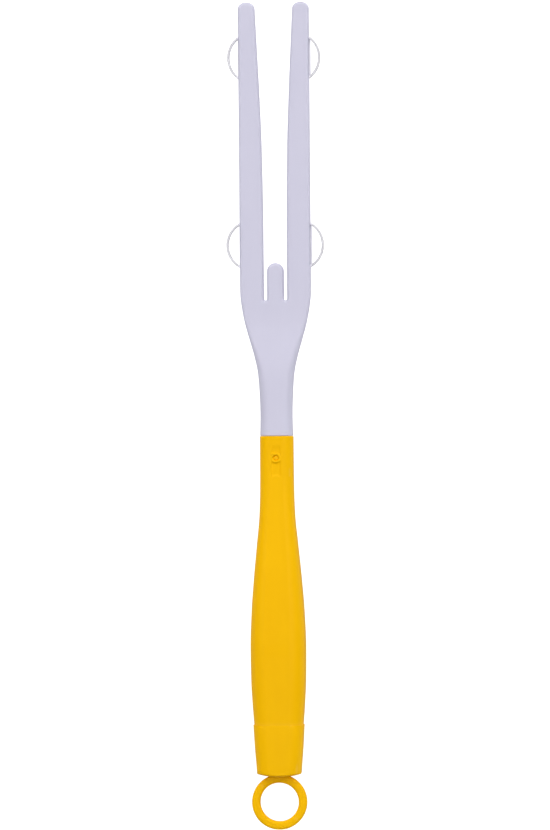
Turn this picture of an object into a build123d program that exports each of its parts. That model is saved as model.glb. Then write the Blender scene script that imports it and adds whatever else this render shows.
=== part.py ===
from build123d import *
import os

# A flat two-tined fork with sprung side bows, on a moulded handle with a hanging ring.
# Millimetres. Every piece is drawn with the tool upright: the origin is the centre of the
# hanging ring, +Z runs up to the tine tips, +X is to the right when the front is seen, and
# the front faces -Y. `write` then lays the piece on its back, as the tool rests on a table,
# so that in the finished files the front faces +Z and the tines point along +Y.

# --- fork head: plate -------------------------------------------------------------------
PLATE_THICKNESS = 3.2
PLATE_EDGE_RADIUS = 1.0
TIP_Z = 290.6
TINE_OUTER_X = 12.9
TINE_TIP_INNER_X = 6.87
TINE_ROOT_INNER_X = 4.28
TIP_ARCH = 2.5
STUB_HALF_WIDTH = 3.01
STUB_TOP_Z = 195.8
SLOT_BOTTOM_Z = 182.2
SHOULDER_TOP_Z = 188.0
PLATE_END_Z = 180.0
PLATE_END_HALF_WIDTH = 12.33
NECK_INSET = 0.04

# Inner edge of a tine between its root and its tip: (x, z).
TINE_INNER_EDGE = [(4.32, 208.0), (4.68, 237.0), (5.43, 258.0), (6.26, 275.5)]

# Shoulder and neck: (z, half width, half depth, corner radius), from the plate down.
NECK_STATIONS = [
    (
        PLATE_END_Z,
        PLATE_END_HALF_WIDTH - NECK_INSET,
        PLATE_THICKNESS / 2 - NECK_INSET,
        PLATE_EDGE_RADIUS,
    ),
    (174.0, 11.20, 1.75, 1.15),
    (168.0, 9.54, 2.35, 1.60),
    (162.0, 7.83, 3.15, 2.30),
    (156.0, 6.60, 3.85, 3.00),
    (149.0, 6.06, 4.20, 3.60),
    (141.0, 5.82, 4.35, 3.90),
    (136.0, 5.88, 4.50, 4.00),
    (133.0, 6.00, 4.65, 4.00),
]
NECK_END_RADIUS = 0.3

# --- tang, pin and the collar that holds them ---------------------------------------------
COLLAR_TOP_Z = 132.95
TANG_WIDTH = 7.8
TANG_DEPTH = 5.8
TANG_CORNER_RADIUS = 1.2
TANG_END_Z = 106.5
TANG_CHAMFER = 0.6
SOCKET_CLEARANCE = 0.05
PIN_Z = 125.0
PIN_RADIUS = 1.15
PIN_HOLE_CLEARANCE = 0.02
PIN_END_CHAMFER = 0.25
EYELET_RADIUS = 2.0
RECESS_HALF_WIDTH = 1.8
RECESS_DEPTH = 0.35
COLLAR_HALF_DEPTH = 5.0
PIN_BACK_INSET = 0.1
RECESS_TOP_Z = 128.9
ARCH_TOP_Z = 118.3
ARCH_RADIUS = 2.4

# --- handle -----------------------------------------------------------------------------
HANDLE_WALL = 2.1
HANDLE_BOTTOM_Z = 28.2
COLLAR_RIM_RADIUS = 0.35
# (z, half width, half depth, corner radius), from the collar down to the end cap.
HANDLE_STATIONS = [
    (COLLAR_TOP_Z, 6.05, COLLAR_HALF_DEPTH, 4.10),
    (120.0, 6.08, 5.03, 4.10),
    (112.0, 6.14, 5.25, 4.05),
    (104.0, 6.40, 5.70, 4.00),
    (94.0, 7.33, 6.45, 4.35),
    (82.0, 8.49, 7.20, 5.00),
    (70.0, 9.43, 7.80, 5.50),
    (56.0, 9.94, 8.10, 5.80),
    (44.0, 9.80, 8.00, 5.70),
    (36.0, 9.40, 7.75, 5.50),
    (HANDLE_BOTTOM_Z, 8.82, 7.45, 5.20),
]
# Hollow core of the grip: straight where the end cap's plug goes in, tapered above it.
CORE_HALF_WIDTH = 8.82 - HANDLE_WALL
CORE_HALF_DEPTH = 7.45 - HANDLE_WALL
CORE_CORNER_RADIUS = 3.2
CORE_STRAIGHT_TOP_Z = 44.0
CORE_TAPER_STATIONS = [
    (CORE_STRAIGHT_TOP_Z, CORE_HALF_WIDTH, CORE_HALF_DEPTH, CORE_CORNER_RADIUS),
    (62.0, 6.50, 5.20, 3.10),
    (82.0, 5.60, 4.60, 2.90),
    (99.0, 4.20, 3.60, 2.30),
]

# --- end cap ------------------------------------------------------------------------------
CAP_TOP_Z = 28.15
CAP_BOTTOM_Z = 9.0
CAP_STATIONS = [
    (CAP_TOP_Z, 9.14, 7.60, 5.35),
    (24.0, 8.92, 7.44, 5.25),
    (19.0, 8.62, 7.20, 5.05),
    (14.0, 8.22, 6.94, 4.85),
    (CAP_BOTTOM_Z, 7.88, 6.68, 4.60),
]
CAP_LIP_RADIUS = 0.2
CAP_BUTT_RADIUS = 0.4
CAP_CROWN_RADIUS = 27.0
CAP_FLOOR = 3.0
PLUG_TOP_Z = 41.0
PLUG_WALL = 1.5
PLUG_CLEARANCE = 0.05
SNAP_BEAD_Z = 38.0
SNAP_BEAD_HEIGHT = 0.35
SNAP_BEAD_HALF_SPAN = 1.0
SNAP_BEAD_RAMP = 0.8
PLUG_SINK = 0.2

# --- hanging ring -------------------------------------------------------------------------
RING_OUTER_RADIUS = 10.05
RING_HOLE_RADIUS = 7.0
RING_THICKNESS = 3.6
RING_EDGE_RADIUS = 1.0
STEM_WIDTH = 6.4
STEM_THICKNESS = 2.6
STEM_TOP_Z = 15.4
STEM_SLIT_WIDTH = 1.6
STEM_HEAD_OVERHANG = 0.5
STEM_HEAD_LAND = 1.0
STEM_HEAD_TAPER = 0.6
SLOT_CLEARANCE = 0.05

# --- side bows ------------------------------------------------------------------------------
# (name, centre z, half chord, rise of the leaf's middle line over the tine's edge).
BOW_PAIRS = [
    ("upper", 270.4, 7.3, 3.75),
    ("lower", 202.3, 7.7, 4.55),
]
LEAF_THICKNESS = 0.65
LEAF_DEPTH = 2.0
STRIP_FRONT_Y = -0.35
STRIP_SEAT_X = 12.3
STRIP_PROUD = 0.25
STRIP_SLOPE_END_Y = 1.2
HOOK_INNER_X = 11.2
HOOK_BACK_Y = 4.4
HOOK_CHAMFER = 0.3
TONGUE_WIDTH = 1.0
TONGUE_LENGTH = 1.1
TONGUE_Y = 0.6
TONGUE_INSET_Z = 1.0
SEAT_CLEARANCE = 0.02


def write(piece, name):
    """Lays a finished piece on its back, labels it and writes it as the STEP file of its node."""
    with BuildPart() as laid:
        add(piece.part, rotation=(-90, 0, 0))
    laid.part.label = name
    export_step(laid.part, f"parts/{name}.step")


def station(z, half_width, half_depth, corner_radius):
    """One cross-section of a long moulding: a rounded rectangle square to Z."""
    with BuildSketch(Plane.XY.offset(z)) as outline:
        RectangleRounded(2 * half_width, 2 * half_depth, corner_radius)
    return outline.sketch


def lofted(stations, mode=Mode.ADD):
    """A smooth solid through a list of stations, for the active part."""
    loft([station(*values) for values in stations], mode=mode)


def bow_seat(centre_z, half_chord, gap):
    """The tool for one right-hand seat: a step in the tine's outer edge and a groove behind it."""
    with BuildPart() as seat:
        step_width = TINE_OUTER_X - STRIP_SEAT_X + 2
        step_depth = PLATE_THICKNESS / 2 - STRIP_FRONT_Y + 1
        with Locations((STRIP_SEAT_X - gap, STRIP_FRONT_Y - gap, centre_z)):
            Box(step_width, step_depth, 2 * (half_chord + gap), align=(Align.MIN, Align.MIN, Align.CENTER))
        with Locations((STRIP_SEAT_X - TONGUE_LENGTH - 2 * gap, TONGUE_Y, centre_z)):
            groove_length = 2 * (half_chord - TONGUE_INSET_Z + gap)
            Box(step_width, TONGUE_WIDTH + 2 * gap, groove_length, align=(Align.MIN, Align.CENTER, Align.CENTER))
    return seat.part


def make_fork_head():
    """Tines, stub, shoulder, neck and tang in one moulding."""
    slot_middle_x = (STUB_HALF_WIDTH + TINE_ROOT_INNER_X) / 2
    slot_radius = (TINE_ROOT_INNER_X - STUB_HALF_WIDTH) / 2
    slot_side_z = SLOT_BOTTOM_Z + slot_radius
    tip_side_z = TIP_Z - TIP_ARCH
    tip_middle_x = (TINE_TIP_INNER_X + TINE_OUTER_X) / 2
    stub_side_z = STUB_TOP_Z - STUB_HALF_WIDTH

    with BuildPart() as fork_head:
        with BuildSketch(Plane.XZ):
            with BuildLine():
                TangentArc((0, STUB_TOP_Z), (STUB_HALF_WIDTH, stub_side_z), tangent=(1, 0))
                Line((STUB_HALF_WIDTH, stub_side_z), (STUB_HALF_WIDTH, slot_side_z))
                ThreePointArc(
                    (STUB_HALF_WIDTH, slot_side_z),
                    (slot_middle_x, SLOT_BOTTOM_Z),
                    (TINE_ROOT_INNER_X, slot_side_z),
                )
                Spline(
                    (TINE_ROOT_INNER_X, slot_side_z),
                    *TINE_INNER_EDGE,
                    (TINE_TIP_INNER_X, tip_side_z),
                    tangents=[(0, 1), (0.06, 1)],
                )
                ThreePointArc(
                    (TINE_TIP_INNER_X, tip_side_z),
                    (tip_middle_x, TIP_Z),
                    (TINE_OUTER_X, tip_side_z),
                )
                Line((TINE_OUTER_X, tip_side_z), (TINE_OUTER_X, SHOULDER_TOP_Z))
                Spline(
                    (TINE_OUTER_X, SHOULDER_TOP_Z),
                    (PLATE_END_HALF_WIDTH, PLATE_END_Z),
                    tangents=[(0, -1), (-0.17, -1)],
                )
                Line((PLATE_END_HALF_WIDTH, PLATE_END_Z), (0, PLATE_END_Z))
                mirror(about=Plane.YZ)
            make_face()
        extrude(amount=PLATE_THICKNESS / 2, both=True)
        faces_by_depth = fork_head.faces().filter_by(Axis.Y).sort_by(Axis.Y)
        rims = faces_by_depth[0].edges() + faces_by_depth[-1].edges()
        cut_line = rims.filter_by(Axis.X).filter_by_position(Axis.Z, PLATE_END_Z, PLATE_END_Z)
        fillet(rims - cut_line, radius=PLATE_EDGE_RADIUS)

        lofted(NECK_STATIONS)
        fillet(fork_head.faces().sort_by(Axis.Z)[0].edges(), radius=NECK_END_RADIUS)
        with BuildSketch(Plane.XY.offset(NECK_STATIONS[-1][0])):
            RectangleRounded(TANG_WIDTH, TANG_DEPTH, TANG_CORNER_RADIUS)
        extrude(amount=TANG_END_Z - NECK_STATIONS[-1][0])
        chamfer(fork_head.faces().sort_by(Axis.Z)[0].edges(), length=TANG_CHAMFER)
        with Locations(Location((0, 0, PIN_Z), (90, 0, 0))):
            Cylinder(PIN_RADIUS + PIN_HOLE_CLEARANCE, 2 * TANG_DEPTH, mode=Mode.SUBTRACT)

        for _, centre_z, half_chord, _ in BOW_PAIRS:
            seat = bow_seat(centre_z, half_chord, SEAT_CLEARANCE)
            add(seat, mode=Mode.SUBTRACT)
            add(seat.mirror(Plane.YZ), mode=Mode.SUBTRACT)
    return fork_head


def make_side_bow(centre_z, half_chord, rise):
    """A leaf bent to an arc over a base strip that hooks behind the tine, with the tongue that holds it."""
    low_z = centre_z - half_chord
    high_z = centre_z + half_chord
    strip_x = TINE_OUTER_X + STRIP_PROUD
    hook_front_y = PLATE_THICKNESS / 2 + SEAT_CLEARANCE
    with BuildPart() as side_bow:
        with BuildSketch(Plane.XZ):
            with BuildLine() as middle_line:
                ThreePointArc((TINE_OUTER_X, low_z), (TINE_OUTER_X + rise, centre_z), (TINE_OUTER_X, high_z))
            trace(middle_line.line, line_width=LEAF_THICKNESS)
        extrude(amount=LEAF_DEPTH / 2, both=True)
        split(bisect_by=Plane.YZ.offset(TINE_OUTER_X), keep=Keep.TOP)
        with BuildSketch(Plane.XY.offset(low_z)):
            with BuildLine():
                Polyline(
                    (STRIP_SEAT_X, STRIP_FRONT_Y),
                    (TINE_OUTER_X, STRIP_FRONT_Y),
                    (strip_x, STRIP_SLOPE_END_Y),
                    (strip_x, HOOK_BACK_Y - HOOK_CHAMFER),
                    (strip_x - HOOK_CHAMFER, HOOK_BACK_Y),
                    (HOOK_INNER_X, HOOK_BACK_Y),
                    (HOOK_INNER_X, hook_front_y),
                    (STRIP_SEAT_X, hook_front_y),
                    close=True,
                )
            make_face()
        extrude(amount=2 * half_chord)
        with Locations((STRIP_SEAT_X - TONGUE_LENGTH, TONGUE_Y, centre_z)):
            tongue_span = 2 * (half_chord - TONGUE_INSET_Z)
            Box(2 * TONGUE_LENGTH, TONGUE_WIDTH, tongue_span, align=(Align.MIN, Align.CENTER, Align.CENTER))
    return side_bow


def collar_recess():
    """The tool for the shallow flat in the collar, ended below by an arch, with the eyelet left in it."""
    with BuildPart() as recess:
        with BuildSketch(Plane.XZ.offset(COLLAR_HALF_DEPTH - RECESS_DEPTH)):
            with Locations((0, (RECESS_TOP_Z + ARCH_TOP_Z - ARCH_RADIUS) / 2)):
                Rectangle(2 * RECESS_HALF_WIDTH, RECESS_TOP_Z - ARCH_TOP_Z + ARCH_RADIUS)
            with Locations((0, ARCH_TOP_Z - ARCH_RADIUS)):
                Circle(ARCH_RADIUS, mode=Mode.SUBTRACT)
            with Locations((0, PIN_Z)):
                Circle(EYELET_RADIUS, mode=Mode.SUBTRACT)
        extrude(amount=COLLAR_HALF_DEPTH)
    return recess.part


def make_handle_shell():
    """Collar with the tang socket above, hollow grip open to the end cap below."""
    with BuildPart() as handle_shell:
        lofted(HANDLE_STATIONS)
        fillet(handle_shell.faces().sort_by(Axis.Z)[-1].edges(), radius=COLLAR_RIM_RADIUS)
        with BuildSketch(Plane.XY.offset(HANDLE_BOTTOM_Z)):
            RectangleRounded(2 * CORE_HALF_WIDTH, 2 * CORE_HALF_DEPTH, CORE_CORNER_RADIUS)
        extrude(amount=CORE_STRAIGHT_TOP_Z - HANDLE_BOTTOM_Z, mode=Mode.SUBTRACT)
        lofted(CORE_TAPER_STATIONS, mode=Mode.SUBTRACT)
        with BuildSketch(Plane.XY.offset(COLLAR_TOP_Z)):
            socket_width = TANG_WIDTH + 2 * SOCKET_CLEARANCE
            socket_depth = TANG_DEPTH + 2 * SOCKET_CLEARANCE
            RectangleRounded(socket_width, socket_depth, TANG_CORNER_RADIUS)
        extrude(amount=TANG_END_Z - COLLAR_TOP_Z, mode=Mode.SUBTRACT)
        with Locations(Location((0, 0, PIN_Z), (90, 0, 0))):
            Cylinder(PIN_RADIUS, 4 * COLLAR_HALF_DEPTH, mode=Mode.SUBTRACT)
        add(collar_recess(), mode=Mode.SUBTRACT)
        with BuildSketch(Plane.XY.offset(SNAP_BEAD_Z - SNAP_BEAD_HALF_SPAN)):
            groove_width = 2 * (CORE_HALF_WIDTH + SNAP_BEAD_HEIGHT)
            groove_depth = 2 * (CORE_HALF_DEPTH + SNAP_BEAD_HEIGHT)
            RectangleRounded(groove_width, groove_depth, CORE_CORNER_RADIUS + SNAP_BEAD_HEIGHT)
        extrude(amount=2 * SNAP_BEAD_HALF_SPAN, mode=Mode.SUBTRACT)
    return handle_shell


def make_retaining_pin():
    """Cross pin through collar and tang, with chamfered ends just under the surface."""
    front_depth = COLLAR_HALF_DEPTH - RECESS_DEPTH
    back_depth = COLLAR_HALF_DEPTH - PIN_BACK_INSET
    with BuildPart() as retaining_pin:
        with BuildSketch(Plane.XZ.offset(front_depth)):
            with Locations((0, PIN_Z)):
                Circle(PIN_RADIUS)
        extrude(amount=-(front_depth + back_depth))
        chamfer(retaining_pin.edges().filter_by(GeomType.CIRCLE), length=PIN_END_CHAMFER)
    return retaining_pin


def make_end_cap():
    """Cup with a crowned butt, a plug and snap bead above, and the ring's slot in its floor."""
    plug_width = CORE_HALF_WIDTH - PLUG_CLEARANCE
    plug_depth = CORE_HALF_DEPTH - PLUG_CLEARANCE
    plug_radius = CORE_CORNER_RADIUS - PLUG_CLEARANCE
    with BuildPart() as end_cap:
        lofted(CAP_STATIONS)
        with Locations((0, 0, CAP_BOTTOM_Z + CAP_CROWN_RADIUS)):
            Sphere(CAP_CROWN_RADIUS, mode=Mode.INTERSECT)
        fillet(end_cap.faces().sort_by(Axis.Z)[-1].edges(), radius=CAP_LIP_RADIUS)
        fillet(end_cap.faces().sort_by(Axis.Z)[0].edges(), radius=CAP_BUTT_RADIUS)
        with BuildSketch(Plane.XY.offset(CAP_TOP_Z - 1)):
            RectangleRounded(2 * plug_width, 2 * plug_depth, plug_radius)
        extrude(amount=PLUG_TOP_Z - CAP_TOP_Z + 1)
        bead = station(
            SNAP_BEAD_Z,
            plug_width + SNAP_BEAD_HEIGHT,
            plug_depth + SNAP_BEAD_HEIGHT,
            plug_radius + SNAP_BEAD_HEIGHT,
        )
        for rise in (-SNAP_BEAD_RAMP, SNAP_BEAD_RAMP):
            root = station(SNAP_BEAD_Z + rise, plug_width - PLUG_SINK, plug_depth - PLUG_SINK, plug_radius)
            loft([bead, root])
        floor_z = CAP_BOTTOM_Z + CAP_FLOOR
        with BuildSketch(Plane.XY.offset(floor_z)):
            RectangleRounded(
                2 * (plug_width - PLUG_WALL), 2 * (plug_depth - PLUG_WALL), plug_radius - PLUG_WALL
            )
        extrude(amount=PLUG_TOP_Z - floor_z, mode=Mode.SUBTRACT)
        with Locations((0, 0, floor_z)):
            Box(
                STEM_WIDTH + 2 * SLOT_CLEARANCE,
                STEM_THICKNESS + 2 * SLOT_CLEARANCE,
                4 * CAP_FLOOR,
                mode=Mode.SUBTRACT,
            )
        with BuildSketch(Plane.XZ):
            Circle(RING_OUTER_RADIUS + SLOT_CLEARANCE)
        extrude(amount=RING_THICKNESS / 2 + SLOT_CLEARANCE, both=True, mode=Mode.SUBTRACT)
    return end_cap


def make_hanging_ring():
    """Ring of rounded section on a flat stem, split and headed so that it snaps through the cap's floor."""
    floor_top_z = CAP_BOTTOM_Z + CAP_FLOOR
    middle_radius = (RING_OUTER_RADIUS + RING_HOLE_RADIUS) / 2
    with BuildPart() as hanging_ring:
        with BuildSketch(Plane.XY):
            with Locations((middle_radius, 0)):
                RectangleRounded(RING_OUTER_RADIUS - RING_HOLE_RADIUS, RING_THICKNESS, RING_EDGE_RADIUS)
        revolve(axis=Axis.Y)
        with BuildSketch(Plane.XZ):
            stem_root_z = middle_radius
            half_stem = STEM_WIDTH / 2
            half_head = half_stem + STEM_HEAD_OVERHANG
            with BuildLine():
                Polyline(
                    (0, stem_root_z),
                    (half_stem, stem_root_z),
                    (half_stem, floor_top_z + SLOT_CLEARANCE),
                    (half_head, floor_top_z + SLOT_CLEARANCE),
                    (half_head, floor_top_z + STEM_HEAD_LAND),
                    (half_stem - STEM_HEAD_TAPER, STEM_TOP_Z),
                    (0, STEM_TOP_Z),
                )
                mirror(about=Plane.YZ)
            make_face()
            with Locations((0, STEM_TOP_Z)):
                Rectangle(STEM_SLIT_WIDTH, 2 * (STEM_TOP_Z - floor_top_z + 1), mode=Mode.SUBTRACT)
        extrude(amount=STEM_THICKNESS / 2, both=True)
    return hanging_ring


os.makedirs("parts", exist_ok=True)
write(make_fork_head(), "fork_head")
write(make_handle_shell(), "handle_shell")
write(make_retaining_pin(), "retaining_pin")
write(make_end_cap(), "end_cap")
write(make_hanging_ring(), "hanging_ring")
for pair, bow_z, bow_half_chord, bow_rise in BOW_PAIRS:
    right_bow = make_side_bow(bow_z, bow_half_chord, bow_rise)
    with BuildPart() as left_bow:
        add(right_bow.part.mirror(Plane.YZ))
    write(right_bow, f"side_bow_{pair}_right")
    write(left_bow, f"side_bow_{pair}_left")
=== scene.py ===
"""Looks of the two-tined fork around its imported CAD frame.

Shapes are worked out in millimetres with the tool drawn upright: +Z from the hanging ring to the
tine tips, +X to the right and -Y out of the front. `to_row` lays them on their back in the row
frame, where +Y runs to the tips and +Z comes out of the front.
"""

import math

import bmesh
import bpy
import numpy as np
from mathutils import Matrix, Vector
from mathutils.geometry import delaunay_2d_cdt


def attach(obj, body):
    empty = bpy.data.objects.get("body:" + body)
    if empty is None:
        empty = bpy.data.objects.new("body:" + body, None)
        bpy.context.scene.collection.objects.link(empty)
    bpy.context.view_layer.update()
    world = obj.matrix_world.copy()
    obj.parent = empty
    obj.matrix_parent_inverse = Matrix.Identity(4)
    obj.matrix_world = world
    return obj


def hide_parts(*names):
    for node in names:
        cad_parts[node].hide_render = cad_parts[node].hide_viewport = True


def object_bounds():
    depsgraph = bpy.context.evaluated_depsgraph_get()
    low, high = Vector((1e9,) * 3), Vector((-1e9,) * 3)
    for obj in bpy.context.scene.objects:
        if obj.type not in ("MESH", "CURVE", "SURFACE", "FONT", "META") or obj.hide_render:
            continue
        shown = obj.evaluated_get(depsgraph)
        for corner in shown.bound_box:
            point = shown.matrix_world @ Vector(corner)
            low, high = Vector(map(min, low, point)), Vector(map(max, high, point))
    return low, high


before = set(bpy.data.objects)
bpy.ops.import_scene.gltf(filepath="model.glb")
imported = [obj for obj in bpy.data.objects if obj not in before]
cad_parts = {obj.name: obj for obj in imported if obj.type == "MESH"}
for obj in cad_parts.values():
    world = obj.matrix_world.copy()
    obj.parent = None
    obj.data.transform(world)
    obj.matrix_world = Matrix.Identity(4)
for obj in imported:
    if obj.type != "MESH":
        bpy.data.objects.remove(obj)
cad_low, cad_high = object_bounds()

MM = 0.001

# --- driving sizes: the CAD's own, except where a comment says otherwise ---------------------
PLATE_HALF = 1.6
PLATE_EDGE = 1.0
TIP_Z = 290.6
TIP_RISE = 2.5
TINE_OUTER_X = 12.9
STUB_HALF_WIDTH = 3.01
STUB_TOP_Z = 195.8
SLOT_BOTTOM_Z = 182.2
SHOULDER_TOP_Z = 188.0
TINE_ROOT_X = 4.28
# inner edge of a tine: z, x
TINE_INNER = [(182.8, TINE_ROOT_X), (208.0, 4.32), (237.0, 4.68), (258.0, 5.43), (275.5, 6.26), (288.1, 6.87)]
NECK_END_Z = 133.0
NECK_END_ROUND = 0.3
# side of the shoulder and neck: z, half width, half depth, radius of the rounding.
# The CAD has a step of 0.04 at z 180, between its plate and its neck, which is smoothed over here.
NECK = [
    (NECK_END_Z, 6.00, 4.65, 4.00),
    (136.0, 5.88, 4.50, 4.00),
    (141.0, 5.82, 4.35, 3.90),
    (149.0, 6.06, 4.20, 3.60),
    (156.0, 6.60, 3.85, 3.00),
    (162.0, 7.83, 3.15, 2.30),
    (168.0, 9.54, 2.35, 1.60),
    (174.0, 11.20, 1.75, 1.15),
    (180.0, 12.33, PLATE_HALF, PLATE_EDGE),
    (184.2, 12.80, PLATE_HALF, PLATE_EDGE),
    (SHOULDER_TOP_Z, TINE_OUTER_X, PLATE_HALF, PLATE_EDGE),
]
# half width, half depth, corner radius
TANG = (3.9, 2.9, 1.2)
SOCKET = (3.95, 2.95, 1.2)
TANG_END_Z = 106.5
TANG_CHAMFER = 0.6

COLLAR_TOP_Z = 132.95
COLLAR_RIM = 0.35
# the gap over the end cap is a hairline here, 0.01, and 0.05 in the CAD
HANDLE_BOTTOM_Z = 28.16
PIN_Z = 125.0
# z, half width, half depth, corner radius
HANDLE = [
    (HANDLE_BOTTOM_Z, 8.82, 7.45, 5.20),
    (36.0, 9.40, 7.75, 5.50),
    (44.0, 9.80, 8.00, 5.70),
    (56.0, 9.94, 8.10, 5.80),
    (70.0, 9.43, 7.80, 5.50),
    (82.0, 8.49, 7.20, 5.00),
    (94.0, 7.33, 6.45, 4.35),
    (104.0, 6.40, 5.70, 4.00),
    (112.0, 6.14, 5.25, 4.05),
    (120.0, 6.08, 5.03, 4.10),
    (COLLAR_TOP_Z, 6.05, 5.00, 4.10),
]
CORE = [
    (HANDLE_BOTTOM_Z, 6.72, 5.35, 3.2),
    (44.0, 6.72, 5.35, 3.2),
    (62.0, 6.50, 5.20, 3.1),
    (82.0, 5.60, 4.60, 2.9),
    (99.0, 4.20, 3.60, 2.3),
]
# the groove round the core that the cap's snap bead sits in: half width, half depth, corner radius
SNAP_GROOVE = (7.07, 5.70, 3.55)
GROOVE_BOTTOM_Z = 37.0
GROOVE_TOP_Z = 39.0

CAP_TOP_Z = 28.15
CAP_BOTTOM_Z = 9.0
# the top's half depth is 7.60 in the CAD, and here it is nearly flush with the handle in front
CAP = [
    (CAP_BOTTOM_Z, 7.88, 6.68, 4.60),
    (14.0, 8.22, 6.94, 4.85),
    (19.0, 8.62, 7.20, 5.05),
    (24.0, 8.92, 7.44, 5.25),
    (CAP_TOP_Z, 9.14, 7.47, 5.35),
]
CAP_CROWN_RADIUS = 27.0
# the rounding of the cap's top edge, 0.2 in the CAD
CAP_LIP = 0.05
CAP_BUTT = 0.4
# half width, half depth, corner radius
PLUG = (6.67, 5.30, 3.15)
PLUG_TOP_Z = 41.0
PLUG_WALL = 1.5
SNAP_BEAD_Z = 38.0
SNAP_BEAD_HEIGHT = 0.35
SNAP_BEAD_RAMP = 0.8
CAP_FLOOR_TOP_Z = 12.0
STEM_SLOT_HALF_WIDTH = 3.25
STEM_SLOT_HALF_DEPTH = 1.35

RING_OUTER = 10.05
RING_HOLE = 7.0
RING_HALF = 1.8
RING_EDGE = 1.0
RING_CLEARANCE = 0.05

# name, z of the middle, half the chord, rise of the leaf's middle line over the tine's edge.
# The leaf is 0.8 thick here and 0.65 in the CAD, out to the same line, so its middle rises 0.08 less.
BOWS = [("upper", 270.4, 7.3, 3.67), ("lower", 202.3, 7.7, 4.47)]
LEAF_HALF = 0.40
LEAF_DEPTH_HALF = 1.0
SEAT_X = 12.3
SEAT_CLEARANCE = 0.02
STRIP_FRONT_Y = -0.35
STRIP_PROUD = 0.25
HOOK_INNER_X = 11.2
HOOK_FRONT_Y = 1.62
HOOK_BACK_Y = 4.4


# --- small mathematics ----------------------------------------------------------------------
def smooth_through(points, at):
    """Values at the given places of a smooth curve without overshoot through the points."""
    x = np.array([p[0] for p in points], float)
    y = np.array([p[1:] for p in points], float)
    h = np.diff(x)[:, None]
    slope = np.diff(y, axis=0) / h
    tangent = np.zeros_like(y)
    tangent[0], tangent[-1] = slope[0], slope[-1]
    before, after = slope[:-1], slope[1:]
    same = before * after > 0
    w1 = 2 * h[1:] + h[:-1]
    w2 = h[1:] + 2 * h[:-1]
    with np.errstate(divide="ignore", invalid="ignore"):
        mean = (w1 + w2) / (w1 / before + w2 / after)
    tangent[1:-1] = np.where(same, mean, 0.0)
    at = np.atleast_1d(np.asarray(at, float))
    i = np.clip(np.searchsorted(x, at, side="right") - 1, 0, len(x) - 2)
    d = (x[i + 1] - x[i])[:, None]
    t = np.clip((at - x[i])[:, None] / d, 0, 1)
    return (
        (2 * t**3 - 3 * t**2 + 1) * y[i]
        + (t**3 - 2 * t**2 + t) * d * tangent[i]
        + (-2 * t**3 + 3 * t**2) * y[i + 1]
        + (t**3 - t**2) * d * tangent[i + 1]
    )


def smoothstep(t):
    """0 up to t = 0, 1 from t = 1, and a smooth ramp between."""
    t = np.clip(t, 0, 1)
    return t * t * (3 - 2 * t)


def evenly(a, b, step):
    """Places from a to b, both ends included, about step apart."""
    return np.linspace(a, b, max(2, int(round(abs(b - a) / step)) + 1))


# --- making pieces --------------------------------------------------------------------------
def to_row(x, y, z):
    """A point of the upright drawing, in millimetres, as metres in the row frame."""
    return (float(x) * MM, float(z) * MM, -float(y) * MM)


def raw_mesh(name, verts, faces):
    """A mesh from millimetre points of the upright drawing."""
    mesh = bpy.data.meshes.new(name)
    mesh.from_pydata([to_row(*v) for v in verts], [], [tuple(map(int, f)) for f in faces])
    return mesh


def new_piece(node, verts, faces, material, sharp_deg):
    """The piece that stands for a CAD node, shaded smooth except at edges sharper than sharp_deg."""
    name = f"{node}_skin"
    mesh = raw_mesh(name, verts, faces)
    bm = bmesh.new()
    bm.from_mesh(mesh)
    bmesh.ops.remove_doubles(bm, verts=bm.verts, dist=1e-6)
    bmesh.ops.recalc_face_normals(bm, faces=bm.faces)
    for f in bm.faces:
        f.smooth = True
    for e in bm.edges:
        if len(e.link_faces) == 2 and e.calc_face_angle(0.0) > math.radians(sharp_deg):
            e.smooth = False
    bm.to_mesh(mesh)
    bm.free()
    mesh.materials.append(material)
    piece = bpy.data.objects.new(name, mesh)
    bpy.context.scene.collection.objects.link(piece)
    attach(piece, "root")
    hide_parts(node)
    return piece


def tool_mesh(verts, faces):
    """A closed helper object for cut()."""
    mesh = raw_mesh("tool", verts, faces)
    bm = bmesh.new()
    bm.from_mesh(mesh)
    bmesh.ops.recalc_face_normals(bm, faces=bm.faces)
    bm.to_mesh(mesh)
    bm.free()
    tool = bpy.data.objects.new("tool", mesh)
    bpy.context.scene.collection.objects.link(tool)
    return tool


def cut(piece, tools):
    """Cuts closed tool meshes out of a piece, then deletes the tools."""
    for tool in tools:
        modifier = piece.modifiers.new("cut", "BOOLEAN")
        modifier.operation = "DIFFERENCE"
        modifier.solver = "EXACT"
        modifier.object = tool
    bpy.context.view_layer.update()
    graph = bpy.context.evaluated_depsgraph_get()
    mesh = bpy.data.meshes.new_from_object(piece.evaluated_get(graph))
    piece.modifiers.clear()
    old = piece.data
    piece.data = mesh
    bpy.data.meshes.remove(old)
    for tool in tools:
        bpy.data.objects.remove(tool)


def block(x0, x1, y0, y1, z0, z1):
    """Points and faces of a box."""
    verts = [(x, y, z) for x in (x0, x1) for y in (y0, y1) for z in (z0, z1)]
    faces = [(0, 1, 3, 2), (4, 6, 7, 5), (0, 4, 5, 1), (2, 3, 7, 6), (0, 2, 6, 4), (1, 5, 7, 3)]
    return verts, faces


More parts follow.
